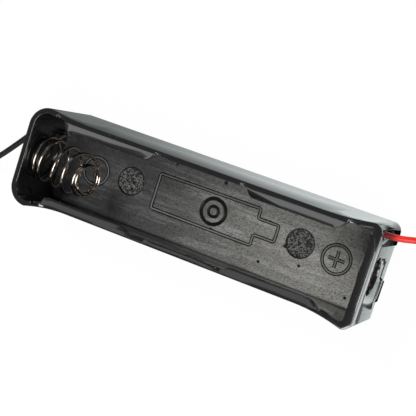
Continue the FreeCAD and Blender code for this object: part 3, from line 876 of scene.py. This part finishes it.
@dataclass
class Studio:
    """Camera at the photo's viewing angle, floor, lamps and surroundings."""

    eye: Triple = (77.28, 27.77, 226.16)
    right: Triple = (0.8864, 0.3052, -0.3480)
    down: Triple = (0.3261, -0.9453, 0.0014)
    forward: Triple = (-0.3285, -0.1147, -0.9375)
    lens: float = 98.4
    sensor: float = 36.0
    nearest: float = 0.01
    floor_reach: float = 3.0
    floor_drop: float = 0.00002
    world_color: Triple = (0.95, 0.98, 1.0)
    world_level: float = 0.10
    lamps: tuple[Lamp, ...] = (
        Lamp("front_strip", (-0.10, -0.80, 0.36), (2.0, 0.26), 1.6),
        Lamp("back_strip", (-0.30, 0.74, 0.44), (0.9, 0.3), 0.35),
        Lamp("right_panel", (0.42, -0.26, 0.72), (0.6, 0.6), 5.5),
        Lamp("top_fill", (-0.30, 0.36, 0.80), (0.42, 0.42), 7.0, in_reflections=False),
    )

    def place_camera(self) -> None:
        """Sets the camera at the photo's viewing angle."""
        data = bpy.data.cameras.new("camera")
        data.lens = self.lens
        data.sensor_width = self.sensor
        data.clip_start = self.nearest
        camera = add_object("camera", data)
        backwards = [[-c for c in axis] for axis in (self.down, self.forward)]
        axes = Matrix((self.right, *backwards)).transposed()
        camera.matrix_world = Matrix.Translation(Vector(metres(self.eye))) @ axes.to_4x4()
        bpy.context.scene.camera = camera

    def lay_floor(self, paints: Paints) -> None:
        """Lays the pale floor under the holder.

        Args:
            paints: the store of finishes.
        """
        reach, z = self.floor_reach, -self.floor_drop
        signs = ((-1, -1), (1, -1), (1, 1), (-1, 1))
        corners = np.array([(x * reach, y * reach, z) for x, y in signs])
        floor = add_mesh("floor", corners, [(0, 1, 2, 3)], smooth=False)
        paints.coat(floor, Look.FLOOR)

    def build(self, paints: Paints) -> None:
        """Sets up the whole stage.

        Args:
            paints: the store of finishes.
        """
        self.place_camera()
        self.lay_floor(paints)
        world = bpy.data.worlds.new("soft_room")
        graph, surface = fresh_graph(world, "ShaderNodeOutputWorld")
        light = {"Color": opaque(self.world_color), "Strength": self.world_level}
        graph.feed(graph.add("ShaderNodeBackground", light).outputs[0], surface)
        bpy.context.scene.world = world
        for lamp in self.lamps:
            lamp.hang()
        bpy.context.scene.view_settings.view_transform = "Standard"


# ---- the moulding


@dataclass
class Tray:
    """The moulded tray and the raised marks on its floor."""

    edge_round: float = 0.10
    face_cuts: tuple[float, ...] = (-34.5, -29.0, -20.0, -5.0, 0.0, 5.0, 20.0, 29.0, 34.0)
    floor_top: float = 1.8
    bead_width: float = 0.34
    bead_top: float = 0.24
    bead_height: float = 0.10
    bead_foot: float = 0.05
    bead_shoulder: float = 0.055
    shade_strip_width: float = 0.74
    shade_strip_top: float = 0.012
    sign_radius: float = 2.98
    plus_centre: Pair = (28.2, -0.5)
    minus_centre: Pair = (-28.6, -0.5)
    sign_arm: float = 1.75
    ring_points: int = 64
    bar_points: int = 5
    corner_step: float = 0.35
    corner_pull: float = 0.3
    cell_sign: tuple[Pair, ...] = (
        (-13.8, 3.85), (9.85, 4.0), (9.85, 1.9), (14.6, 1.9),
        (14.6, -1.65), (9.9, -1.65), (9.9, -4.0), (-13.8, -3.9),
    )

    def build_shell(self, paints: Paints) -> Piece:
        """The tray itself, with rounded edges.

        Args:
            paints: the store of finishes.
        Returns:
            The shell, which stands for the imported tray.
        """
        shell = moulded_copy("holder_body", "tray_shell", self.edge_round * MM, self.face_cuts)
        paints.coat(shell, Look.TRAY)
        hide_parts("holder_body")
        return shell

    def bead_profile(self) -> np.ndarray:
        """Section of a raised bead: a low trapezium whose foot is in the floor.

        Returns:
            Plane points in metres: across the bead, then up.
        """
        half, top = self.bead_width / 2, self.bead_top / 2
        right = (half, -self.bead_foot), (half, self.bead_shoulder), (top, self.bead_height)
        return metres([*right, *((-across, up) for across, up in reversed(right))])

    def on_floor(self, plan: np.ndarray) -> np.ndarray:
        """Plan points in millimetres as points on the floor in metres."""
        return metres(np.column_stack([plan, np.full(len(plan), self.floor_top)]))

    def shade_strip_profile(self) -> np.ndarray:
        """Section of the black strip under a bead: a thin flat strip, wider than the bead, that is
        painted shade at the bead's edges.

        Returns:
            Plane points in metres: across the strip, then up.
        """
        half = self.shade_strip_width / 2
        low, high = -self.bead_foot, self.shade_strip_top
        return metres([(-half, low), (half, low), (half, high), (-half, high)])

    def bead(
        self, paints: Paints, name: str, plan: np.ndarray, closed: bool
    ) -> tuple[Piece, Piece]:
        """Lays a raised bead along plan points, with a black strip under it as painted shade at its
        edges.

        Args:
            paints: the store of finishes.
            name: the bead's name.
            plan: points in millimetres.
            closed: whether it is a loop.
        Returns:
            The bead and the strip under it.
        """
        path = self.on_floor(plan)
        ridge = sweep(name, path, self.bead_profile(), (0, 0, 1), closed)
        # Painted shade: a flat black strip under the bead, showing as dark lines at its edges.
        strip = sweep(f"{name}_shade_strip", path, self.shade_strip_profile(), (0, 0, 1), closed)
        return paints.coat(ridge, Look.MARK), paints.coat(strip, Look.SHADE_STRIP)

    def with_corners(self, plan: np.ndarray) -> np.ndarray:
        """Puts two points close to each corner, so that mitres keep the bead's width.

        Args:
            plan: corners of a loop in millimetres.
        Returns:
            The loop with three points per corner.
        """
        step = self.corner_step
        before = np.roll(plan, 1, axis=0) - plan
        after = np.roll(plan, -1, axis=0) - plan
        before /= np.linalg.norm(before, axis=1, keepdims=True)
        after /= np.linalg.norm(after, axis=1, keepdims=True)
        middle = plan + (before + after) * step * self.corner_pull
        trio = [plan + before * step, middle, plan + after * step]
        return np.stack(trio, axis=1).reshape(-1, 2)

    def build_marks(self, paints: Paints) -> list[Piece]:
        """The cell outline, the ringed plus and the ringed minus.

        Args:
            paints: the store of finishes.
        Returns:
            The beads and their black strips of painted shade.
        """
        circle = ring(self.sign_radius, self.ring_points)
        arm = np.linspace(-self.sign_arm, self.sign_arm, self.bar_points)
        along = np.column_stack([arm, np.zeros_like(arm)])
        plus, minus = np.array(self.plus_centre), np.array(self.minus_centre)
        plans = (
            ("cell_outline", self.with_corners(np.array(self.cell_sign)), True),
            ("plus_ring", circle + plus, True),
            ("plus_bar_along", along + plus, False),
            ("plus_bar_across", along[:, ::-1] + plus, False),
            ("minus_ring", circle + minus, True),
            ("minus_bar_across", along[:, ::-1] + minus, False),
        )
        return [piece for plan in plans for piece in self.bead(paints, *plan)]

    def build(self, paints: Paints) -> list[Piece]:
        """The moulding's shell and its marks."""
        return [self.build_shell(paints), *self.build_marks(paints)]


# ---- the contacts


@dataclass
class CoilSpring:
    """The negative contact: one wire wound from a large closed end to a small one."""

    wire: float = 0.6
    large: float = 10.0
    small: float = 6.6
    wall_face: float = -37.4
    length: float = 13.5
    lean: float = 1.3
    tilt: float = 22.0
    tilt_start: float = 0.55
    tilt_run: float = 0.3
    offset: float = -0.4
    axis_height: float = 11.05
    start_angle: float = -60.0
    turns: tuple[float, ...] = (0, 1.5, 4.0, 4.6, 6.5)
    reach: tuple[float, ...] = (0, 0.14, 0.80, 0.90, 1)
    tail_end: Triple = (-35.9, 5.3, 5.4)
    steps_per_turn: int = 40
    round_points: int = 14
    tail_points: int = 14
    eased_steps: int = 9

    def centre_line(self) -> np.ndarray:
        """The wire's centre line from its tail to its small end.

        Along the coil, the share of the length and the radius are read from the
        turn count by straight pieces, smoothed by a short moving average. The axis
        bends upwards by the tilt between two shares of the length, and each turn
        stands square to it. The tail leaves the first turn along its tangent.

        Returns:
            Points in metres.
        """
        turn = np.linspace(0, self.turns[-1], round(self.turns[-1] * self.steps_per_turn) + 1)
        share = self.eased(np.interp(turn, self.turns, self.reach))
        large = (self.large - self.wire) / 2
        small = (self.small - self.wire) / 2
        radius = self.eased(np.interp(turn, self.turns, (large, large, large, small, small)))
        angle = np.radians(self.start_angle - 360 * turn)
        tilt = np.radians(self.tilt) * np.clip((share - self.tilt_start) / self.tilt_run, 0, 1)
        run = np.diff(share, prepend=0) * (self.length - self.wire)
        across = radius * np.cos(angle)
        upward = radius * np.sin(angle)
        start = self.wall_face + self.wire / 2
        coil = np.column_stack(
            [
                start + np.cumsum(run * np.cos(tilt)) - upward * np.sin(tilt),
                self.offset - self.lean * share + across,
                self.axis_height + np.cumsum(run * np.sin(tilt)) + upward * np.cos(tilt),
            ]
        )
        return metres(np.vstack([self.tail(coil[0]), coil]))

    def eased(self, values: np.ndarray) -> np.ndarray:
        """Smooths the corners of a row of values, and keeps its two ends."""
        padded = np.pad(values, self.eased_steps // 2, mode="reflect", reflect_type="odd")
        return np.convolve(padded, np.full(self.eased_steps, 1 / self.eased_steps), mode="valid")

    def tail(self, first: np.ndarray) -> np.ndarray:
        """Points from the tail's end to just before the first turn.

        A quadratic curve: its middle control point lies on the first turn's tangent.

        Args:
            first: the coil's first point in millimetres.
        Returns:
            Points in millimetres.
        """
        turned = math.radians(self.start_angle)
        back = np.array([0.0, -math.sin(turned), math.cos(turned)])
        end = np.array(self.tail_end)
        control = first + back * np.linalg.norm(end - first) * 0.5
        t = np.linspace(0, 1, self.tail_points)[:-1, None]
        return (1 - t) ** 2 * end + 2 * t * (1 - t) * control + t**2 * first

    def build(self, paints: Paints) -> list[Piece]:
        """Sweeps the wire.

        Args:
            paints: the store of finishes.
        Returns:
            The spring, in a list.
        """
        section = ring(self.wire / 2 * MM, self.round_points)
        spring = sweep("coil_spring", self.centre_line(), section, (1, 0, 0))
        paints.coat(spring, Look.SPRING)
        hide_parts("negative_spring")
        return [spring]


@dataclass
class StampedContact:
    """The positive contact plate, and the solder and strands of both joints."""

    edge_round: float = 0.05
    blobs: tuple[str, ...] = ("positive_solder", "negative_solder")
    strands: tuple[str, ...] = ("red_strands", "black_strands")

    def build(self, paints: Paints) -> list[Piece]:
        """Rounds the plate's edges and gives the joints their looks.

        Args:
            paints: the store of finishes.
        Returns:
            The plate, in a list.
        """
        plate = moulded_copy("positive_contact", "stamped_plate", self.edge_round * MM)
        paints.coat(plate, Look.CONTACT)
        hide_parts("positive_contact")
        for look, nodes in ((Look.SOLDER, self.blobs), (Look.STRANDS, self.strands)):
            for node in nodes:
                paints.coat(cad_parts[node], look)
        return [plate]


# ---- the leads


@dataclass
class Lead:
    """One insulated lead: its run, its put-away turns and its stripped end."""

    colour: str
    look: Look
    route: tuple[Triple, ...]
    length: float
    diameter: float = 1.25
    coil_radius: float = 6.6
    turns: int = 3
    points_per_turn: int = 12
    tip_diameter: float = 0.8
    tip_length: float = 6.0
    step_share: float = 1 / 6
    inner_shift: float = 1.04
    tip_grid: tuple[int, int] = (60, 42)
    tip_lobes: int = 7
    tip_twist: float = 5.5
    lobe_depth: float = 0.14
    tip_taper: Pair = (0.06, 0.25)

    def heading(self) -> np.ndarray:
        """Plan direction of the route's last run, as a unit vector."""
        run = np.array(self.route[-1]) - np.array(self.route[-2])
        return run[:2] / np.linalg.norm(run[:2])

    def coil_points(self) -> np.ndarray:
        """Control points of the put-away turns, wound to the right and downwards.

        Each turn steps down by a diameter in its last sixth. The bottom turn starts
        a diameter further in and comes out to the full radius at its end.

        Returns:
            Points in millimetres, without the route's last point.
        """
        count = self.turns * self.points_per_turn
        turn = np.arange(1, count + 1) / self.points_per_turn
        whole = np.floor(turn + 1e-9)
        part = turn - whole
        late = np.clip((part - 1 + self.step_share) / self.step_share, 0, 1)
        layer = np.minimum(whole + late, self.turns - 1)
        z = self.diameter * (self.turns - 0.5 - layer)
        control_radius = self.coil_radius / math.cos(math.pi / self.points_per_turn) ** 0.5
        last = self.turns - 1
        inward = np.interp(turn, (0, last - self.step_share, last, self.turns), (0, 0, 1, 0))
        radius = control_radius - inward * self.diameter * self.inner_shift
        ahead = self.heading()
        left = np.array([-ahead[1], ahead[0]])
        centre = np.array(self.route[-1][:2]) - left * self.coil_radius
        angle = 2 * math.pi * turn
        plan = centre + np.outer(radius * np.cos(angle), left)
        return np.column_stack([plan + np.outer(radius * np.sin(angle), ahead), z])

    def build_sleeve(self, paints: Paints) -> Piece:
        """The insulated lead as one smooth curve with a round section.

        Args:
            paints: the store of finishes.
        Returns:
            The curve object.
        """
        points = metres(np.vstack([self.route, self.coil_points()]))
        data = bpy.data.curves.new(f"{self.colour}_sleeve", "CURVE")
        data.dimensions = "3D"
        data.bevel_depth = self.diameter / 2 * MM
        data.bevel_resolution = 5
        data.use_fill_caps = True
        spline = data.splines.new("NURBS")
        spline.points.add(len(points) - 1)
        spline.points.foreach_set("co", np.column_stack([points, np.ones(len(points))]).ravel())
        spline.order_u = 3
        spline.use_endpoint_u = True
        spline.resolution_u = 10
        sleeve = add_object(f"{self.colour}_sleeve", data)
        paints.coat(sleeve, self.look)
        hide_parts(f"{self.colour}_lead", f"{self.colour}_lead_coil")
        return sleeve

    def build_tip(self, paints: Paints) -> Piece:
        """The stripped end: twisted strands under a thin coat of tin.

        The radius at angle a and distance s is a base with seven lobes that turn
        with s, and the far end narrows a little.

        Args:
            paints: the store of finishes.
        Returns:
            The tip.
        """
        rows, columns = self.tip_grid
        run, narrowing = self.tip_taper
        s = np.linspace(0, 1, rows)[:, None]
        a = np.linspace(0, 2 * math.pi, columns, endpoint=False)[None, :]
        lobes = np.abs(np.cos(self.tip_lobes / 2 * (a - s * self.tip_twist)))
        round_end = 1 - narrowing * np.clip((s - 1 + run) / run, 0, 1) ** 2
        radius = self.tip_diameter / 2 * (1 - self.lobe_depth * (1 - lobes)) * round_end
        profile = metres(np.stack([radius * np.cos(a), radius * np.sin(a)], axis=-1))
        ahead = np.array([*self.heading(), 0.0])
        start = np.array([*self.route[-1][:2], self.diameter / 2])
        path = metres(start + s * ahead * self.tip_length)
        tip = sweep(f"{self.colour}_stripped_end", path, profile, (0, 0, 1))
        paints.coat(tip, Look.STRANDS)
        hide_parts(f"{self.colour}_lead_tip")
        return tip

    def build(self, paints: Paints) -> list[Piece]:
        """Args:
            paints: the store of finishes.
        Returns:
            Its pieces.
        """
        sleeve = self.build_sleeve(paints)
        tip = self.build_tip(paints)
        return [sleeve, tip]


RED_ROUTE = (
    (36.65, 8.75, 15.4),
    (40.6, 8.75, 15.4),
    (44.2, 9.6, 14.6),
    (47.6, 10.35, 12.0),
    (50.4, 10.85, 8.4),
    (53.4, 11.15, 4.97),
    (57.4, 11.25, 3.125),
    (61.4, 11.25, 3.125),
)
BLACK_ROUTE = (
    (-36.9, 5.3, 4.8),
    (-40.6, 5.3, 4.8),
    (-44.0, 3.7, 4.8),
    (-46.8, 0.3, 4.6),
    (-50.6, -3.9, 4.1),
    (-55.0, -7.9, 3.125),
    (-59.0, -11.6, 3.125),
)


def main() -> None:
    """Builds the stage and the object, and lets every piece ride on the tray."""
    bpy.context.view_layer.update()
    paints = Paints()
    Studio().build(paints)
    assemblies = (
        Lead("red", Look.RED, RED_ROUTE, 147.4),
        Lead("black", Look.BLACK, BLACK_ROUTE, 146.9),
        Tray(),
        CoilSpring(),
        StampedContact(),
    )
    for assembly in assemblies:
        for piece in assembly.build(paints):
            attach(piece, "root")
            log.info("%s: %s", type(assembly).__name__, piece.name)


if __name__ == "__main__":
    main()
